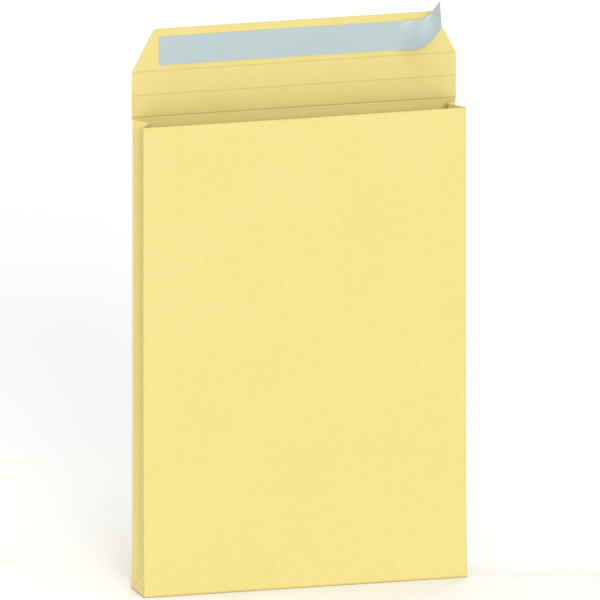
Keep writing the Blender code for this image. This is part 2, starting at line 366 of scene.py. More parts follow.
class NodeBench:
    """Adds and links the nodes of one tree. A source is an output socket or a constant."""

    def __init__(self, tree: bpy.types.NodeTree) -> None:
        """Work on a tree."""
        self.tree = tree

    def feed(self, node: bpy.types.Node, sources: dict[str | int, object]) -> None:
        """Link or set some of a node's inputs.

        Args:
            node: the node.
            sources: the source of each input, by the input's name or number; a constant colour
                is three numbers.
        """
        for key, source in sources.items():
            socket = node.inputs[key]
            if isinstance(source, bpy.types.NodeSocket):
                self.tree.links.new(source, socket)
            elif socket.type == "RGBA":
                socket.default_value = (*source, 1.0)
            else:
                socket.default_value = source

    def add(self, kind: str, sources: dict[str | int, object],
            **settings: object) -> bpy.types.bpy_prop_collection:
        """Add a node.

        Args:
            kind: the node's type.
            sources: the sources of its inputs, as feed takes them.
            settings: the node's properties, which are set first.

        Returns:
            The node's outputs.
        """
        node = self.tree.nodes.new(kind)
        for key, value in settings.items():
            setattr(node, key, value)
        self.feed(node, sources)
        return node.outputs

    def math(self, operation: str, first: object, second: object) -> bpy.types.NodeSocket:
        """Combine two numbers."""
        return self.add("ShaderNodeMath", {0: first, 1: second}, operation=operation)[0]

    def noise(self, place: object, scale: object, detail: float,
              roughness: float = 0.55) -> bpy.types.NodeSocket:
        """Read a noise pattern, 0 to 1."""
        sources = {"Vector": place, "Scale": scale, "Detail": detail, "Roughness": roughness}
        return self.add("ShaderNodeTexNoise", sources)["Fac"]

    def stretched(self, place: object, scale: Triple,
                  turn: Triple = (0.0, 0.0, 0.0)) -> bpy.types.NodeSocket:
        """Draw a pattern out along turned axes by the scale's factors."""
        sources = {"Vector": place, "Rotation": turn, "Scale": scale}
        return self.add("ShaderNodeMapping", sources, vector_type="TEXTURE")["Vector"]

    def spread(self, source: object, low: float, high: float, new_low: float = 0.0,
               new_high: float = 1.0) -> bpy.types.NodeSocket:
        """Map a range of values to another, clamped."""
        sources = dict(enumerate((source, low, high, new_low, new_high)))
        return self.add("ShaderNodeMapRange", sources, clamp=True)["Result"]

    def blend(self, share: object, first: object, second: object) -> bpy.types.NodeSocket:
        """Mix two colours: all of the second where the share is 1."""
        return self.add("ShaderNodeMix", {0: share, 6: first, 7: second}, data_type="RGBA")[2]

    def bump(self, height: object, strength: float, distance: float) -> bpy.types.NodeSocket:
        """Turn a height pattern into the surface's normals."""
        sources = {"Height": height, "Strength": strength, "Distance": distance}
        return self.add("ShaderNodeBump", sources)["Normal"]


class Swatch:
    """A new material with a Principled BSDF, and a bench to work on it."""

    def __init__(self, name: str) -> None:
        """Start the material, with the place on the piece that its patterns read.

        Args:
            name: the material's name.
        """
        self.data = bpy.data.materials.new(name)
        self.data.use_nodes = True
        self.bench = NodeBench(self.data.node_tree)
        self.place = self.bench.add("ShaderNodeTexCoord", {})["Object"]

    def finish(self, sources: dict[str, object]) -> bpy.types.Material:
        """Link or set the shader's inputs and give back the material."""
        self.bench.feed(self.data.node_tree.nodes["Principled BSDF"], sources)
        return self.data


def fibre_group() -> bpy.types.NodeTree:
    """Paper stock: cloudy formation, fine drawn-out fibres, grain and sparse coloured strands.

    Tone is 0.5 where the sheet is even and moves with the clouds, the slow drift and the fibres.
    Fleck is 1 on the few coloured strands. Relief is the surface's height for a bump.

    Returns:
        The group.
    """
    inputs = {"Place": (0.0, 0.0, 0.0), "Cloud scale": 170.0, "Fibre scale": 2600.0}
    group = new_group("paper_fibre", inputs, ("Tone", "Fleck", "Relief"))
    bench = NodeBench(group)
    given = group.nodes["in"].outputs
    place = given["Place"]
    clouds = bench.noise(place, given["Cloud scale"], 5.0, 0.62)
    drift = bench.noise(place, 14.0, 2.0)
    fibres, strands = 0.0, 0.0
    for turn in ((0.3, 0.5, 0.0), (-0.4, 1.5, 0.3), (0.5, 2.55, -0.4)):
        layer = bench.noise(bench.stretched(place, (1.0, 1.0, 4.5), turn), given["Fibre scale"],
                            2.0)
        fibres = bench.math("MAXIMUM", fibres, layer)
    for turn in ((0.2, 0.9, 0.3), (-0.3, 2.2, 0.5)):
        layer = bench.noise(bench.stretched(place, (1.0, 1.0, 7.0), turn), 1900.0, 1.0, 0.4)
        strands = bench.math("MAXIMUM", strands, layer)
    patches = bench.spread(bench.noise(place, 240.0, 0.0), 0.50, 0.60)
    tone = 0.5
    for layer, even, weight in ((clouds, 0.5, 0.9), (drift, 0.5, 0.5), (fibres, 0.60, 0.9)):
        swing = bench.math("MULTIPLY", bench.math("SUBTRACT", layer, even), weight)
        tone = bench.math("ADD", tone, swing)
    bench.feed(group.nodes["out"], {
        "Tone": tone,
        "Fleck": bench.math("MULTIPLY", bench.spread(strands, 0.71, 0.77), patches),
        "Relief": bench.math("ADD", bench.math("MULTIPLY", clouds, 0.8), fibres),
    })
    return group


def fold_group() -> bpy.types.NodeTree:
    """What folding does to a sheet: broken fibres along the fold, and painted shade in the crease,
    uneven from place to place.

    Wear and shade is the fold mask, broken up by noise; it darkens the colour for worn fibres and
    for painted crease shade.
    Crush is a finer mask for roughness and bump.

    Returns:
        The group.
    """
    inputs = {"Fold": 0.0, "Place": (0.0, 0.0, 0.0), "Breaks": 240.0}
    group = new_group("fold_wear_and_shade", inputs, ("Wear and shade", "Crush"))
    bench = NodeBench(group)
    given = group.nodes["in"].outputs
    breaks = bench.noise(given["Place"], given["Breaks"], 3.0)
    fine = bench.noise(given["Place"], 1500.0, 2.0)
    bench.feed(group.nodes["out"], {
        "Wear and shade": bench.math("MULTIPLY", given["Fold"], bench.spread(breaks, 0.35, 0.65, 0.6, 1.0)),
        "Crush": bench.math("MULTIPLY", given["Fold"], fine),
    })
    return group


@dataclass(frozen=True)
class PaperFinish:
    """Uncoated manila paper, darkened along its folds, scores and cut edges as worn fibres and as
    painted shade in the creases.
    """

    name: str = "manila_paper"
    color: Triple = (0.722, 0.604, 0.222)
    shade: Triple = (0.600, 0.482, 0.148)
    bright: Triple = (0.775, 0.672, 0.325)
    fleck: Triple = (0.520, 0.380, 0.120)
    crease_wear_and_shade: Triple = (0.430, 0.345, 0.105)
    clouding: float = 0.16
    fleck_strength: float = 0.28
    wear_and_shade_strength: float = 0.5
    rough_low: float = 0.66
    rough_high: float = 0.84
    bump_strength: float = 0.28
    bump_height: float = 0.0002

    def build(self, fibre: bpy.types.NodeTree, folds: bpy.types.NodeTree) -> bpy.types.Material:
        """Make the material from the shared groups.

        Args:
            fibre: the group for the paper stock.
            folds: the group for the wear and the painted crease shade at the folds, which reads the
                mesh's fold mask.

        Returns:
            The material.
        """
        swatch = Swatch(self.name)
        bench, place = swatch.bench, swatch.place
        stock = bench.add("ShaderNodeGroup", {"Place": place}, node_tree=fibre)
        mask = bench.add("ShaderNodeAttribute", {}, attribute_name="fold")["Fac"]
        folded = bench.add("ShaderNodeGroup", {"Fold": mask, "Place": place}, node_tree=folds)
        clouded = bench.blend(self.clouding, self.color,
                              bench.blend(bench.spread(stock["Tone"], 0.25, 0.75), self.shade,
                                          self.bright))
        flecked = bench.blend(bench.math("MULTIPLY", stock["Fleck"], self.fleck_strength),
                              clouded, self.fleck)
        # Darker along folds, creases, scores and cut edges: partly worn fibres, partly painted
        # shade of the creases and edges.
        worn_and_shaded = bench.blend(bench.math("MULTIPLY", folded["Wear and shade"], self.wear_and_shade_strength),
                           flecked, self.crease_wear_and_shade)
        rough = bench.spread(stock["Tone"], 0.2, 0.8, self.rough_high, self.rough_low)
        height = bench.math("ADD", stock["Relief"], bench.math("MULTIPLY", folded["Crush"], 1.5))
        return swatch.finish({
            "Base Color": worn_and_shaded,
            "Roughness": bench.math("ADD", rough, bench.math("MULTIPLY", folded["Crush"], 0.1)),
            "Normal": bench.bump(height, self.bump_strength, self.bump_height),
            "Specular IOR Level": 0.32,
            "Sheen Weight": 0.06,
            "Sheen Roughness": 0.5,
        })


@dataclass(frozen=True)
class ReleaseFinish:
    """Blue-grey release paper: a calendered face, or a siliconed, glossier back."""

    name: str = "release_paper"
    color: Triple = (0.405, 0.494, 0.505)
    deep: Triple = (0.348, 0.434, 0.450)
    pale: Triple = (0.466, 0.552, 0.558)
    clouding: float = 0.35
    roughness: float = 0.42
    rough_swing: float = 0.06
    coat: float = 0.10
    bump_strength: float = 0.05
    bump_height: float = 0.0004

    def build(self, fibre: bpy.types.NodeTree) -> bpy.types.Material:
        """Make the material.

        Args:
            fibre: the group for the paper stock, here finer in its clouds and coarser in its
                fibres than on the envelope.

        Returns:
            The material.
        """
        swatch = Swatch(self.name)
        bench = swatch.bench
        stock = bench.add("ShaderNodeGroup", {"Place": swatch.place, "Cloud scale": 320.0,
                                              "Fibre scale": 1300.0}, node_tree=fibre)
        clouds = bench.blend(bench.spread(stock["Tone"], 0.25, 0.75), self.deep, self.pale)
        return swatch.finish({
            "Base Color": bench.blend(self.clouding, self.color, clouds),
            "Roughness": bench.spread(stock["Tone"], 0.2, 0.8, self.roughness + self.rough_swing,
                                      self.roughness - self.rough_swing),
            "Normal": bench.bump(stock["Relief"], self.bump_strength, self.bump_height),
            "Coat Weight": self.coat,
            "Coat Roughness": 0.25,
        })


@dataclass(frozen=True)
class AdhesiveFinish:
    """Clear, tacky adhesive: glossy, a little warmer than the paper that shows through it."""

    name: str = "clear_adhesive"
    color: Triple = (0.900, 0.760, 0.330)
    pale: Triple = (0.940, 0.820, 0.420)
    alpha: float = 0.55
    line_length: float = 12.5
    bump_strength: float = 0.22
    bump_height: float = 0.0005

    def build(self) -> bpy.types.Material:
        """Make the material, with coating lines drawn out along the band and small dimples.

        Returns:
            The material.
        """
        swatch = Swatch(self.name)
        bench, place = swatch.bench, swatch.place
        lines = bench.noise(bench.stretched(place, (self.line_length, 1.0, 1.0)), 700.0, 3.0)
        dimples = bench.noise(place, 420.0, 2.0)
        height = bench.math("ADD", bench.math("MULTIPLY", lines, 0.7), dimples)
        return swatch.finish({
            "Base Color": bench.blend(bench.spread(dimples, 0.3, 0.7), self.color, self.pale),
            "Roughness": bench.spread(lines, 0.3, 0.7, 0.10, 0.20),
            "Normal": bench.bump(height, self.bump_strength, self.bump_height),
            "Alpha": self.alpha,
        })


@dataclass(frozen=True)
class GroundFinish:
    """Plain pale studio floor."""

    name: str = "studio_floor"
    color: Triple = (0.81, 0.806, 0.806)

    def build(self) -> bpy.types.Material:
        """Make the material, with a trace of unevenness in its roughness.

        Returns:
            The material.
        """
        swatch = Swatch(self.name)
        bench = swatch.bench
        rough = bench.spread(bench.noise(swatch.place, 3.0, 2.0), 0.3, 0.7, 0.85, 0.95)
        return swatch.finish({"Base Color": self.color, "Roughness": rough,
                                "Specular IOR Level": 0.1})


@dataclass
class PaperSheet:
    """The folded manila sheet: panels, gussets, flap and block bottom as one surface.

    The outline has eight sides. They run anticlockwise from above: front panel, right gusset,
    strip between its two crease points, right gusset again, back panel, and the left gusset's
    three.
    """

    sizes: EnvelopeSizes
    paper: bpy.types.Material
    panel_columns: int = 56
    gusset_columns: int = 12
    tuck_columns: int = 8
    arc_steps: int = 6
    base_steps: int = 4
    tuck_rows: int = 14
    upper_rows: int = 90
    flap_rows: int = 44
    corner_steps: int = 8
    beside_fold: tuple[float, ...] = (0.0005, 0.0012, 0.0024)
    beside_seam: tuple[float, ...] = (-0.0014, -0.0005, 0.0, 0.0005, 0.0014)
    beside_rim: tuple[float, ...] = (0.0040, 0.0024, 0.0012, 0.0006, 0.0)
    beside_score: tuple[float, ...] = (0.0002, 0.0004, 0.0006, 0.0008, 0.0011)
    row_clearance: float = 0.0006
    arc_share: float = 0.42
    gusset_ripple: float = 0.00010
    gusset_ease: float = 0.02
    lap_step: float = 0.00007
    lap_ease: float = 0.0012
    lap_end: float = 0.003
    score_depth: float = 0.00016
    score_width: float = 0.0004
    flap_fold_depth: float = 0.00040
    flap_fold_width: float = 0.0005
    fold_mark: float = 0.00055
    base_mark: float = 0.0009
    score_mark: float = 0.0006
    flap_fold_mark: float = 0.0007
    rim_mark: float = 0.0006
    cut_mark: float = 0.0005
    seam_mark: float = 0.0005
    # Strengths of the darkening at the scores, the cut edges and the seam lap's edge: wear and
    # painted shade.
    score_wear_and_shade: float = 0.85
    cut_wear_and_shade: float = 0.5
    seam_wear_and_shade: float = 0.3

    def __post_init__(self) -> None:
        """Work out the tuck's apex, the sides' columns, and where each fold's columns start."""
        sizes = self.sizes
        self.apex = sizes.tuck_apex()
        self.apex_inset = float(sizes.crease_inset(np.array(self.apex)))
        self.shares = self.side_shares()
        counts = [self.arc_steps + 1 + len(share) for share in self.shares]
        self.fold_starts = np.concatenate([[0], np.cumsum(counts)[:-1]])
        back_start = int(self.fold_starts[4]) + self.arc_steps
        self.back = slice(back_start, back_start + len(self.shares[4]) + 2)

    def corners(self, z: np.ndarray) -> np.ndarray:
        """The eight fold points of the outline at each height.

        Under the apex a crease point runs along the 45 degree tuck crease, from near the panel's
        edge to the centre; above it the two centre points stay one small gap apart.

        Args:
            z: heights, of shape (rows,).

        Returns:
            Points of shape (rows, 8, 2): front left, front right, right crease front and back,
            back right, back left, left crease back and front.
        """
        sizes = self.sizes
        depth = sizes.half_depth(z)
        share = np.clip(z / self.apex, 0.0, 1.0)
        inset = np.where(z < self.apex, self.apex_inset * share, sizes.crease_inset(z))
        widest = sizes.gusset_half - sizes.tuck_start
        gap = widest + (sizes.crease_gap / 2 - widest) * share
        edge = np.full_like(z, sizes.half_width)
        crease = edge - inset
        points = [(-edge, -depth), (edge, -depth), (crease, -gap), (crease, gap),
                  (edge, depth), (-edge, depth), (-crease, gap), (-crease, -gap)]
        return np.stack([np.stack(point, axis=-1) for point in points], axis=1)

    def spaced(self, length: float, count: int) -> np.ndarray:
        """Columns of one side, close beside its folds and even between them.

        Args:
            length: the side's length in metres.
            count: how many columns stand evenly.

        Returns:
            Their places as shares of the side, without its ends.
        """
        near = np.array(self.beside_fold) / length
        even = np.linspace(2.0 * near[-1], 1.0 - 2.0 * near[-1], count)
        return np.concatenate([near, even, 1.0 - near[::-1]])

    def side_shares(self) -> list[np.ndarray]:
        """Where the columns of the eight sides stand, with more of them beside the seam.

        Returns:
            For each side its columns, as shares of the side without its ends.
        """
        sizes = self.sizes
        length = 2 * (sizes.half_width - sizes.fold_reach)
        panel = self.spaced(length, self.panel_columns)
        seam = 1.0 - (sizes.seam_lap - sizes.fold_reach + np.array(self.beside_seam)) / length
        clear_of_seam = np.abs(panel - np.median(seam)) > 0.008
        back = np.sort(np.concatenate([panel[clear_of_seam], seam]))
        gusset = self.spaced(sizes.gusset_half - 1.2 * sizes.fold_reach, self.gusset_columns)
        tuck = np.arange(1, self.tuck_columns) / self.tuck_columns
        return [panel, gusset, tuck, gusset, back, gusset, tuck, gusset]

    def outline(self, z: np.ndarray) -> tuple[np.ndarray, np.ndarray]:
        """The sheet's outer outline at each height, with rounded folds.

        A fold is a quadratic curve between two points a short reach before and after it.

        Args:
            z: heights, of shape (rows,).

        Returns:
            Points of shape (rows, columns, 2), and each column's place in its own side, 0 to 1,
            or 0 on the folds and between the two centre creases.
        """
        corners = self.corners(z)
        sides = np.roll(corners, -1, axis=1) - corners
        lengths = np.linalg.norm(sides, axis=2)
        reach = np.minimum(self.sizes.fold_reach,
                           self.arc_share * np.minimum(lengths, np.roll(lengths, 1, axis=1)))
        ahead = sides / lengths[..., None]
        starts = corners - np.roll(ahead, 1, axis=1) * reach[..., None]
        ends = corners + ahead * reach[..., None]
        t = np.linspace(0.0, 1.0, self.arc_steps + 1)[None, :, None]
        pieces, places = [], []
        for k, share in enumerate(self.shares):
            pieces.append((1 - t) ** 2 * starts[:, k, None] + 2 * t * (1 - t) * corners[:, k, None]
                          + t ** 2 * ends[:, k, None])
            places.append(np.zeros(self.arc_steps + 1))
            s = share[None, :, None]
            pieces.append(ends[:, k, None] * (1 - s) + starts[:, (k + 1) % 8, None] * s)
            places.append(share * (k % 4 != 2))
        return np.concatenate(pieces, axis=1), np.concatenate(places)

    def fold_mask(self, outline: np.ndarray) -> np.ndarray:
        """Nearness to a fold: a bell over the distance along the outline to the nearest fold.

        Args:
            outline: closed outlines, of shape (rows, columns, 2).

        Returns:
            The mask, 0 to 1, of shape (rows, columns).
        """
        steps = np.linalg.norm(np.roll(outline, -1, axis=1) - outline, axis=2)
        run = np.concatenate([np.zeros((len(steps), 1)), np.cumsum(steps, axis=1)[:, :-1]], axis=1)
        total = steps.sum(axis=1)[:, None]
        nearest = np.full(run.shape, np.inf)
        for column in self.fold_starts + self.arc_steps // 2:
            apart = np.abs(run - run[:, column:column + 1])
            nearest = np.minimum(nearest, np.minimum(apart, total - apart))
        return bell(nearest, self.fold_mark)

    @staticmethod
    def outward(outline: np.ndarray) -> np.ndarray:
        """Outward directions along closed outlines: across the line between both neighbours.

        Args:
            outline: points of shape (rows, columns, 2), anticlockwise.

        Returns:
            Unit directions of the same shape.
        """
        tangent = np.roll(outline, -1, axis=1) - np.roll(outline, 1, axis=1)
        tangent /= np.linalg.norm(tangent, axis=2, keepdims=True)
        return np.stack([tangent[..., 1], -tangent[..., 0]], axis=-1)

    @staticmethod
    def moved_in(outline: np.ndarray, distance: np.ndarray) -> np.ndarray:
        """Closed outlines moved inwards with mitred corners.

        A point moves along the sum of its two sides' inward directions, by twice the distance
        over that sum's length squared.

        Args:
            outline: points of shape (rows, columns, 2), anticlockwise.
            distance: how far each row moves, of shape (rows,).

        Returns:
            The moved outlines.
        """
        ahead = np.roll(outline, -1, axis=1) - outline
        ahead /= np.linalg.norm(ahead, axis=2, keepdims=True)
        both = ahead + np.roll(ahead, 1, axis=1)
        inward = np.stack([-both[..., 1], both[..., 0]], axis=-1)
        scale = 2.0 / np.sum(inward * inward, axis=2, keepdims=True)
        return outline + inward * scale * distance[:, None, None]

    def shaped(self, outline: np.ndarray, places: np.ndarray, z: np.ndarray) -> np.ndarray:
        """Give the panels their bow and the gussets their slight fullness.

        Args:
            outline: points of shape (rows, columns, 2).
            places: each column's place in its side, 0 to 1.
            z: heights of the rows.

        Returns:
            The moved outline.
        """
        sizes = self.sizes
        normal = self.outward(outline)
        x = outline[..., 0]
        heights = np.broadcast_to(z[:, None], x.shape)
        front, back = normal[..., 1] < -0.999, normal[..., 1] > 0.999
        front_bow = sizes.panel_bow(x, heights, Side.FRONT)
        back_bow = sizes.panel_bow(x, heights, Side.BACK) + self.seam_step(x, heights)
        bow = np.where(front, front_bow, np.where(back, back_bow, 0.0))
        waves = ripple(places[None, :] + np.where(x > 0, 1.0, 0.0), heights / sizes.mouth_height,
                       37, self.gusset_ripple)
        above = smooth((heights - self.apex) / self.gusset_ease)
        gusset = np.where(front | back, 0.0, np.sin(np.pi * places)[None, :] * waves * above)
        return outline + normal * (bow + gusset)[..., None]

    def seam_step(self, x: np.ndarray, z: np.ndarray) -> np.ndarray:
        """How far the glue lap behind it pushes the back panel out.

        It is an eased step at the lap's long edge, which runs out at its two ends.

        Args:
            x: places across, in metres.
            z: heights in metres.

        Returns:
            Outward offsets in metres.
        """
        sizes = self.sizes
        inside = smooth(0.5 - (x + sizes.half_width - sizes.seam_lap) / self.lap_ease)
        low_end = smooth((z - self.lap_end) / self.lap_end)
        high_end = smooth((sizes.mouth_height - self.lap_end - z) / self.lap_end)
        return self.lap_step * inside * low_end * high_end

    def wall_heights(self) -> np.ndarray:
        """Heights of the wall rows: even steps up to the apex, then eased steps to the mouth.

        Returns:
            Heights in metres, upwards.
        """
        sizes = self.sizes
        low = sizes.shell_floor + sizes.base_fold
        tuck = np.linspace(low, self.apex, self.tuck_rows + 1)[1:]
        rim = sizes.mouth_height - np.array(self.beside_rim)
        share = np.linspace(0.0, 1.0, self.upper_rows + 1)[1:-1]
        rest = self.apex + (rim[0] - self.apex) * (0.35 * share ** 2 + 0.65 * share)
        return np.concatenate([tuck, rest, rim])

    def flap_half(self, rise: np.ndarray) -> np.ndarray:
        """Half width of the flap.

        It is straight to the shoulder, turns on a short parabola, tapers evenly to the top and
        ends in round corners, whose inset is the radius less the root of the radius squared less
        the rise squared.

        Args:
            rise: heights above the mouth, in metres.

        Returns:
            Half widths in metres.
        """
        sizes = self.sizes
        past, turn = rise - sizes.shoulder, sizes.shoulder_turn
        eased = np.where(np.abs(past) < turn, (past + turn) ** 2 / (4 * turn),
                         np.maximum(past, 0.0))
        share = np.clip(eased / (sizes.flap_height - sizes.shoulder), 0.0, 1.0)
        taper = sizes.half_width + (sizes.flap_top_half - sizes.half_width) * share
        corner = sizes.flap_corner
        into = np.clip(rise - (sizes.flap_height - corner), 0.0, corner)
        return taper - (corner - np.sqrt(corner ** 2 - into ** 2))

    def flap_rises(self) -> np.ndarray:
        """Heights of the flap's rows, closer at the fold, the scores and the round corners.

        Returns:
            Heights above the mouth, in metres, upwards.
        """
        sizes = self.sizes
        even = np.linspace(self.row_clearance, sizes.flap_height - sizes.flap_corner,
                           self.flap_rows)
        near = np.array(self.beside_score)
        near = np.concatenate([-near, [0.0], near])
        lines = np.array([sizes.flap_fold, sizes.first_score, sizes.shoulder])
        scores = (lines[:, None] + near[None, :]).ravel()
        angles = np.linspace(0.0, math.pi / 2, self.corner_steps + 1)
        corner = sizes.flap_height - sizes.flap_corner * (1.0 - np.sin(angles))
        clear = np.min(np.abs(even[:, None] - scores[None, :]), axis=1) > self.row_clearance
        return np.unique(np.round(np.concatenate([even[clear], scores, corner]), 6))

    def score_relief(self, rise: np.ndarray) -> np.ndarray:
        """Depth of the flap's fold and of its two pressed scores: bell-shaped furrows.

        Args:
            rise: heights above the mouth, in metres.

        Returns:
            Depths in metres.
        """
        sizes = self.sizes
        furrow = (bell(rise - sizes.first_score, self.score_width)
                  + bell(rise - sizes.shoulder, self.score_width))
        fold = bell(rise - sizes.flap_fold, self.flap_fold_width)
        return self.score_depth * furrow + self.flap_fold_depth * fold

    def flap_grid(self, columns: np.ndarray, face: float) -> tuple[np.ndarray, np.ndarray]:
        """One face of the flap, marked at its fold, its scores and its cut edges.

        Args:
            columns: places across, 1 right to -1 left.
            face: the face's distance along Y.

        Returns:
            Points of shape (rows, columns, 3), and the fold mask of shape (rows, columns).
        """
        sizes = self.sizes
        rise = self.flap_rises()
        half = self.flap_half(rise)[:, None]
        x = columns[None, :] * half
        z = np.broadcast_to((sizes.mouth_height + rise)[:, None], x.shape)
        y = face + sizes.panel_bow(x, z, Side.BACK) + self.score_relief(rise)[:, None]
        near = np.minimum(np.abs(rise - sizes.first_score), np.abs(rise - sizes.shoulder))
        # Darker at the flap's fold and scores and along its cut edges: wear and painted shade.
        folds = (self.score_wear_and_shade * bell(near, self.score_mark)
                 + bell(rise - sizes.flap_fold, self.flap_fold_mark))
        to_cut = np.minimum(half - np.abs(x), sizes.flap_top - z)
        mask = folds[:, None] + self.cut_wear_and_shade * bell(to_cut, self.cut_mark)
        return np.stack([x, y, z], axis=-1), np.clip(mask, 0.0, 1.0)

    def wall_mask(self, outline: np.ndarray, heights: np.ndarray) -> np.ndarray:
        """Nearness to the base's fold, to the cut edge at the mouth and to the seam lap's edge.

        Args:
            outline: points of shape (rows, columns, 2).
            heights: their heights, of shape (rows, columns).

        Returns:
            The mask: bells over the distances, the cut's and the seam's fainter than the fold's.
        """
        sizes = self.sizes
        # Darker at the base's fold, the mouth's cut edge and the seam lap's edge: wear and painted
        # shade.
        cut = self.cut_wear_and_shade * bell(sizes.mouth_height - heights, self.rim_mark)
        cut[:, self.back] = 0.0
        lap_edge = sizes.seam_lap - sizes.half_width
        seam = self.seam_wear_and_shade * bell(outline[..., 0] - lap_edge, self.seam_mark)
        seam[outline[..., 1] < 0.9 * sizes.half_depth(heights)] = 0.0
        return bell(heights - sizes.shell_floor, self.base_mark) + cut + seam

    def add_skin(self, sheet: SheetMesh, z: np.ndarray, inset: np.ndarray) -> np.ndarray:
        """Put the outer or the inner skin of the walls into the mesh.

        Args:
            sheet: the mesh in making.
            z: the rows' heights.
            inset: how far each row stands inside the outline.

        Returns:
            The points' numbers, with the first column again at the end.
        """
        outline, places = self.outline(z)
        moved = self.moved_in(self.shaped(outline, places, z), inset)
        heights = np.broadcast_to(z[:, None], moved.shape[:2])
        mask = self.fold_mask(outline) + self.wall_mask(moved, heights)
        points = np.concatenate([moved, heights[..., None]], axis=2)
        numbers = sheet.add_points(points, np.clip(mask, 0.0, 1.0))
        return np.concatenate([numbers, numbers[:, :1]], axis=1)

    def add_flap(self, sheet: SheetMesh, mouth_out: np.ndarray, mouth_in: np.ndarray) -> None:
        """Carry the back panel on up as the flap, with its cut edges.

        Args:
            sheet: the mesh in making.
            mouth_out: numbers of the back panel's outer mouth points, right to left.
            mouth_in: the same on the inside.
        """
        columns = 1.0 - 2.0 * np.concatenate([[0.0], self.shares[4], [1.0]])
        grids = []
        for face, mouth in ((self.sizes.mouth_half, mouth_out), (self.sizes.flap_face, mouth_in)):
            numbers = sheet.add_points(*self.flap_grid(columns, face))
            grids.append(np.concatenate([mouth[None, :], numbers], axis=0))
        back, face = grids
        sheet.add_grid(back)
        sheet.add_grid(face[:, ::-1])
        sheet.add_grid(np.stack([back[:, 0], face[:, 0]]))
        sheet.add_grid(np.stack([back[::-1, -1], face[::-1, -1]]))
        sheet.add_grid(np.stack([back[-1], face[-1]]))

    def build(self) -> bpy.types.Object:
        """Make the sheet: outside and inside skins, mouth rim, base and flap.

        Returns:
            The finished piece.
        """
        sizes = self.sizes
        sheet = SheetMesh()
        angles = np.linspace(0.0, math.pi / 2, self.base_steps + 1)
        base = sizes.shell_floor + sizes.base_fold * (1.0 - np.cos(angles))
        rounding = sizes.base_fold * (1.0 - np.sin(angles))
        walls = self.wall_heights()
        outside = self.add_skin(sheet, np.concatenate([base, walls]),
                                np.concatenate([rounding, np.zeros(len(walls))]))
        inside = self.add_skin(sheet, np.concatenate([[sizes.shell_floor + sizes.paper], walls]),
                               np.full(len(walls) + 1, sizes.paper))
        sheet.add_grid(outside)
        sheet.add_grid(inside[:, ::-1])
        sheet.add_cap(outside[0, -2::-1])
        sheet.add_cap(inside[0, :-1])
        rim = np.stack([outside[-1], inside[-1]])
        sheet.add_grid(rim[:, :self.back.start + 1])
        sheet.add_grid(rim[:, self.back.stop - 1:])
        self.add_flap(sheet, outside[-1, self.back], inside[-1, self.back])
        return sheet.build("envelope_paper", [self.paper])


@dataclass
class BottomLeaf:
    """A leaf of the block bottom: a trapezoid of paper with 45 degree ends, glued flat.

    The side is the panel that it grows from, and the level is the height of its underside.
    """

    sizes: EnvelopeSizes
    side: Side
    level: float
    paper: bpy.types.Material
    rows: int = 25
    columns: int = 81
    pressed: float = 0.96
    edge_wear_and_shade: float = 0.8
    edge_mark: float = 0.0006

    def build(self) -> bpy.types.Object:
        """Make the leaf as a thin slab whose free edge and mitres are softly darkened: wear and
        painted shade.

        The half length falls by as much as the leaf has reached in, which gives the mitre.

        Returns:
            The finished piece.
        """
        sizes = self.sizes
        reach = np.linspace(0.0, sizes.leaf_reach - sizes.base_fold, self.rows)
        across = self.side.value * np.linspace(-1.0, 1.0, self.columns)
        half = (sizes.half_width - sizes.base_fold - reach)[:, None]
        x = across[None, :] * half
        in_from_side = self.side.value * (sizes.gusset_half - sizes.base_fold - reach)
        y = np.broadcast_to(in_from_side[:, None], x.shape)
        edge = np.minimum(half - np.abs(x), (reach[-1] - reach)[:, None])
        low = np.stack([x, y, np.full_like(x, self.level)], axis=-1)
        high = low + np.array([0.0, 0.0, sizes.paper * self.pressed])
        mesh = SheetMesh()
        mesh.add_slab(low, high, self.edge_wear_and_shade * bell(edge, self.edge_mark))
        return mesh.build(f"{self.side.name.lower()}_leaf", [self.paper])


@dataclass
class SeamLap:
    """The glue lap of the side seam, a strip of the sheet inside the back panel's left edge."""

    sizes: EnvelopeSizes
    paper: bpy.types.Material
    rows: int = 60
    columns: int = 9
    end_gap: float = 0.004
    fold_gap: float = 0.0022
    glue: float = 0.00002
    edge_wear_and_shade: float = 0.6
    edge_mark: float = 0.0008

    def build(self) -> bpy.types.Object:
        """Make the strip: the back panel's inner face, moved in by one more thickness.

        Returns:
            The finished piece.
        """
        sizes = self.sizes
        left = -sizes.half_width
        x, z = np.meshgrid(
            np.linspace(left + self.fold_gap, left + sizes.seam_lap, self.columns),
            np.linspace(self.end_gap, sizes.mouth_height - self.end_gap, self.rows))
        wall = sizes.half_depth(z) + sizes.panel_bow(x, z, Side.BACK) - sizes.paper
        near = np.stack([x, wall - self.glue - sizes.paper, z], axis=-1)
        far = np.stack([x, wall - self.glue, z], axis=-1)
        mesh = SheetMesh()
        # The lap's long edge is darkened: wear and painted shade.
        to_edge = left + sizes.seam_lap - x
        mesh.add_slab(near, far, self.edge_wear_and_shade * bell(to_edge, self.edge_mark))
        return mesh.build("seam_lap", [self.paper])


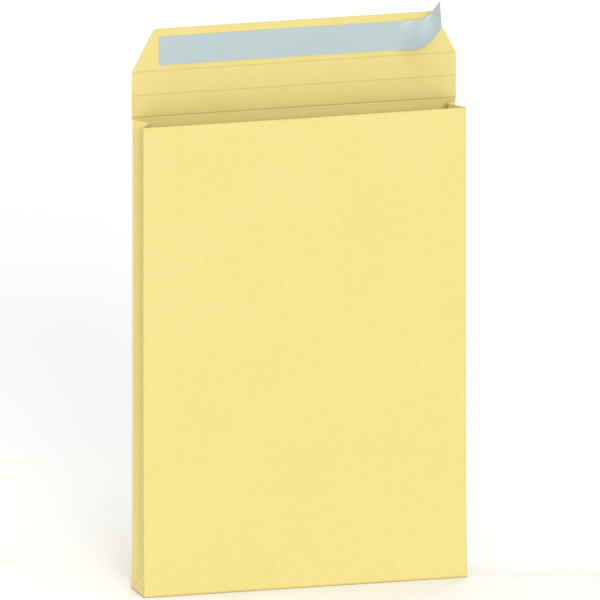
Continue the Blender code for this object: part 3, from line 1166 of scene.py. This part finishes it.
@dataclass
class FlapSeal:
    """The adhesive band and the release liner with its peeled right end."""

    sizes: EnvelopeSizes
    adhesive: bpy.types.Material
    release_face: bpy.types.Material
    release_back: bpy.types.Material
    peel_line: float = 0.0857
    peeled: float = 0.052
    slant: float = 0.0090
    bend: float = math.radians(68.0)
    tilt: float = math.radians(61.0)
    liner: float = 0.00012
    liner_width: float = 0.0243
    stand_off: float = 0.00022
    stations: int = 400
    liner_rows: int = 33
    stuck_columns: int = 150
    free_columns: int = 89
    let_go: float = 0.03
    cockle_height: float = 0.00006
    least_cockle: float = 0.35
    long_wave: float = 0.031
    short_wave: float = 0.013
    short_share: float = 0.6
    film: float = 0.00014
    film_foot: float = 0.00002
    film_end: float = 0.0015
    film_columns: int = 200
    film_rows: int = 25

    @property
    def middle(self) -> float:
        """Height of the band's middle line."""
        return (self.sizes.adhesive_low[2] + self.sizes.adhesive_high[2]) / 2

    def peel_curve(self) -> tuple[np.ndarray, np.ndarray, np.ndarray, np.ndarray]:
        """The peeled end's middle line and its width and face directions.

        With q the share of the peeled length and e = 1 - (1 - q)^2, the strip has bent forward
        by e times the full bend and tilted back by e^2 times the full tilt. The middle line is
        the running sum of its small steps.

        Returns:
            Lengths from the peel line, places, width directions and face directions.
        """
        lengths = np.linspace(0.0, self.peeled + self.slant / 2, self.stations)
        share = np.minimum(lengths / self.peeled, 1.0)
        ease = 1.0 - (1.0 - share) ** 2
        bend = (self.bend * ease)[:, None]
        tilt = (self.tilt * ease ** 2)[:, None]
        right, forward, up = np.array([1, 0, 0]), np.array([0, -1, 0]), np.array([0, 0, 1])
        widths = np.cos(tilt) * up - np.sin(tilt) * forward
        outward = np.cos(tilt) * forward + np.sin(tilt) * up
        along = np.cos(bend) * right + np.sin(bend) * outward
        faces = np.cos(bend) * outward - np.sin(bend) * right
        steps = (along[1:] + along[:-1]) / 2 * (lengths[1] - lengths[0])
        places = np.vstack([np.zeros((1, 3)), np.cumsum(steps, axis=0)])
        return lengths, places, widths, faces

    def liner_faces(self) -> tuple[np.ndarray, np.ndarray]:
        """The liner's surface: flat on the band to the peel line, then along the peel curve.

        Returns:
            Points and face directions, both of shape (rows, columns, 3).
        """
        sizes = self.sizes
        lengths, places, widths, faces = self.peel_curve()
        across = np.linspace(-1.0, 1.0, self.liner_rows)[:, None]
        offset = across * self.liner_width / 2
        stuck = np.linspace(sizes.liner_left, self.peel_line, self.stuck_columns)[None, :]
        share = np.linspace(0.0, 1.0, self.free_columns + 1)[None, 1:]
        free = share * (self.peeled + across * self.slant / 2)

        def read(table: np.ndarray) -> np.ndarray:
            """Values of a table along the peel curve at the free stations."""
            return np.stack([np.interp(free, lengths, table[:, k]) for k in range(3)], axis=-1)

        curled = read(places) + read(widths) * offset[..., None]
        curled[..., 0] += self.peel_line
        flat = np.stack(np.broadcast_arrays(stuck, 0.0, offset), axis=-1)
        points = np.concatenate([flat, curled], axis=1)
        facing = np.concatenate([np.broadcast_to(faces[0], flat.shape), read(faces)], axis=1)
        run = np.concatenate([flat[..., 0], free + self.peel_line], axis=1)
        loose = smooth((run - self.peel_line) / self.let_go)
        bow = sizes.panel_bow(points[..., 0], np.full(run.shape, self.middle), Side.BACK)
        lift = self.cockle(run - sizes.liner_left, across)
        lift = lift * (self.least_cockle + (1.0 - self.least_cockle) * loose)
        points = points + facing * lift[..., None]
        points[..., 1] += sizes.flap_face - self.stand_off + bow * (1.0 - loose)
        points[..., 2] += self.middle
        return points, facing

    def cockle(self, run: np.ndarray, across: np.ndarray) -> np.ndarray:
        """Small cross waves of a strip that is held by tack alone.

        They are two sines along the run, stronger at the long edges than on the middle line,
        and never behind the band.

        Args:
            run: lengths from the strip's left end, in metres.
            across: places across it, -1 to 1.

        Returns:
            Heights in metres.
        """
        strength = self.least_cockle + (1.0 - self.least_cockle) * np.abs(across) ** 1.5
        turn = 2 * math.pi * run
        wave = np.sin(turn / self.long_wave + 0.6)
        wave = wave + self.short_share * np.sin(turn / self.short_wave)
        return self.cockle_height * strength * (wave + 1.0 + self.short_share)

    def build_liner(self) -> bpy.types.Object:
        """Make the liner as a thin closed strip, its two faces in their own finishes.

        Returns:
            The finished piece.
        """
        points, facing = self.liner_faces()
        mesh = SheetMesh()
        mesh.add_slab(points + facing * self.liner, points, np.zeros(points.shape[:2]), 1)
        return mesh.build("peel_off_liner", [self.release_face, self.release_back])

    def build_adhesive(self) -> bpy.types.Object:
        """Make the band: a low pillow of film, full in the middle and feathered at its edges.

        Its height is the film's thickness times one less the eighth power of the place across.

        Returns:
            The finished piece.
        """
        low, high = self.sizes.adhesive_low, self.sizes.adhesive_high
        x, z = np.meshgrid(np.linspace(low[0], high[0], self.film_columns),
                           np.linspace(low[2], high[2], self.film_rows))
        across = (z - self.middle) / ((high[2] - low[2]) / 2)
        end = smooth((high[0] - np.abs(x)) / self.film_end)
        film = self.film * (1.0 - across ** 8) * end + self.film_foot
        foot = self.sizes.flap_face + self.sizes.panel_bow(x, z, Side.BACK) - self.film_foot
        mesh = SheetMesh()
        mesh.add_slab(np.stack([x, foot - film, z], axis=-1), np.stack([x, foot, z], axis=-1),
                      np.zeros(x.shape))
        return mesh.build("adhesive_film", [self.adhesive])


@dataclass(frozen=True)
class SoftLight:
    """An even, soft light from one direction.

    The spread is its apparent width in degrees, which softens its shadows, and the strength is
    its irradiance.
    """

    name: str
    toward: Triple
    spread: float
    strength: float
    color: Triple

    def build(self) -> None:
        """Add the light to the scene."""
        data = bpy.data.lights.new(self.name, "SUN")
        data.angle = math.radians(self.spread)
        data.energy = self.strength
        data.color = self.color
        light = linked(self.name, data)
        light.rotation_euler = Vector(self.toward).to_track_quat("Z", "Y").to_euler()


@dataclass(frozen=True)
class Studio:
    """Plain pale floor, soft light and the drawing's viewing angle."""

    azimuth: float = -16.0
    elevation: float = 13.0
    scale: float = 0.4985
    aim: Triple = (0.0, 0.0, 0.238)
    aim_pixel: tuple[float, float] = (299.2, 303.4)
    distance: float = 2.4
    far_clip: float = 20.0
    frame_pixels: float = 600.0
    floor_half: float = 8.0
    floor_level: float = -0.00005
    room_color: Triple = (0.96, 0.99, 1.0)
    room_strength: float = 0.38
    lights: tuple[SoftLight, ...] = (
        SoftLight("key", (-0.07, -0.95, 0.29), 20.0, 1.73, (1.0, 0.985, 0.955)),
        SoftLight("top", (0.05, -0.30, 1.0), 50.0, 1.32, (1.0, 0.995, 0.985)),
        SoftLight("side", (-1.0, 0.30, 0.40), 30.0, 1.00, (0.99, 0.995, 1.0)),
        SoftLight("rim", (0.25, 1.0, 0.45), 70.0, 1.75, (1.0, 0.985, 0.96)),
    )

    def add_camera(self) -> None:
        """Place an orthographic camera so that the aim point falls on its pixel."""
        turn, rise = math.radians(self.azimuth), math.radians(self.elevation)
        right = np.array([math.cos(turn), math.sin(turn), 0.0])
        back = np.array([math.sin(turn) * math.cos(rise), -math.cos(turn) * math.cos(rise),
                         math.sin(rise)])
        up = np.cross(back, right)
        metres_per_pixel = self.scale / self.frame_pixels
        beside, below = (np.array(self.aim_pixel) - self.frame_pixels / 2) * metres_per_pixel
        data = bpy.data.cameras.new("view")
        data.type = "ORTHO"
        data.ortho_scale = self.scale
        data.clip_end = self.far_clip
        camera = linked("view", data)
        turned = Matrix((right, up, back)).transposed().to_4x4()
        turned.translation = np.array(self.aim) + back * self.distance - right * beside + up * below
        camera.matrix_world = turned
        bpy.context.scene.camera = camera

    def add_world(self) -> None:
        """Fill the room with even light."""
        world = bpy.data.worlds.new("studio")
        world.use_nodes = True
        NodeBench(world.node_tree).feed(world.node_tree.nodes["Background"], {
            "Color": self.room_color, "Strength": self.room_strength})
        bpy.context.scene.world = world

    def add_floor(self, material: bpy.types.Material) -> None:
        """Lay a wide floor just under the envelope, so that no two faces share a plane.

        Args:
            material: the floor's finish.
        """
        signs = ((-1, -1), (1, -1), (1, 1), (-1, 1))
        mesh = bpy.data.meshes.new("studio_floor")
        mesh.from_pydata([(self.floor_half * x, self.floor_half * y, self.floor_level)
                          for x, y in signs], [], [(0, 1, 2, 3)])
        mesh.materials.append(material)
        linked("studio_floor", mesh)

    def build(self) -> None:
        """Set up camera, lights, world and floor."""
        self.add_camera()
        for light in self.lights:
            light.build()
        self.add_world()
        self.add_floor(GroundFinish().build())
        view = bpy.context.scene.view_settings
        view.view_transform = "Standard"
        view.look = "None"


def fit(piece: bpy.types.Object, slot: str, *nodes: str) -> None:
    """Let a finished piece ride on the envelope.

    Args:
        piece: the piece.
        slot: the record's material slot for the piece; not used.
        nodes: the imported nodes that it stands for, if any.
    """
    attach(piece, BODY)
    if nodes:
        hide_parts(*nodes)
    LOG.info("%s: %d faces", piece.name, len(piece.data.polygons))


def main() -> None:
    """Build the finishes, the paper, the seal and the studio, in that order."""
    logging.basicConfig(level=logging.INFO, format="%(name)s %(message)s")
    sizes = EnvelopeSizes.read(frame["record"])
    fibre = fibre_group()
    paper = PaperFinish().build(fibre, fold_group())
    release_face = ReleaseFinish().build(fibre)
    release_back = ReleaseFinish(name="release_silicone", roughness=0.22, coat=0.5,
                                 bump_strength=0.02).build(fibre)
    adhesive = AdhesiveFinish().build()
    fit(PaperSheet(sizes, paper).build(), "manila_paper", "envelope_sheet")
    fit(BottomLeaf(sizes, Side.BACK, sizes.paper, paper).build(), "manila_paper")
    fit(BottomLeaf(sizes, Side.FRONT, 0.0, paper).build(), "manila_paper")
    fit(SeamLap(sizes, paper).build(), "manila_paper")
    seal = FlapSeal(sizes, adhesive, release_face, release_back)
    fit(seal.build_adhesive(), "clear_adhesive", "adhesive_band")
    fit(seal.build_liner(), "release_paper", "release_liner")
    Studio().build()


if __name__ == "__main__":
    main()
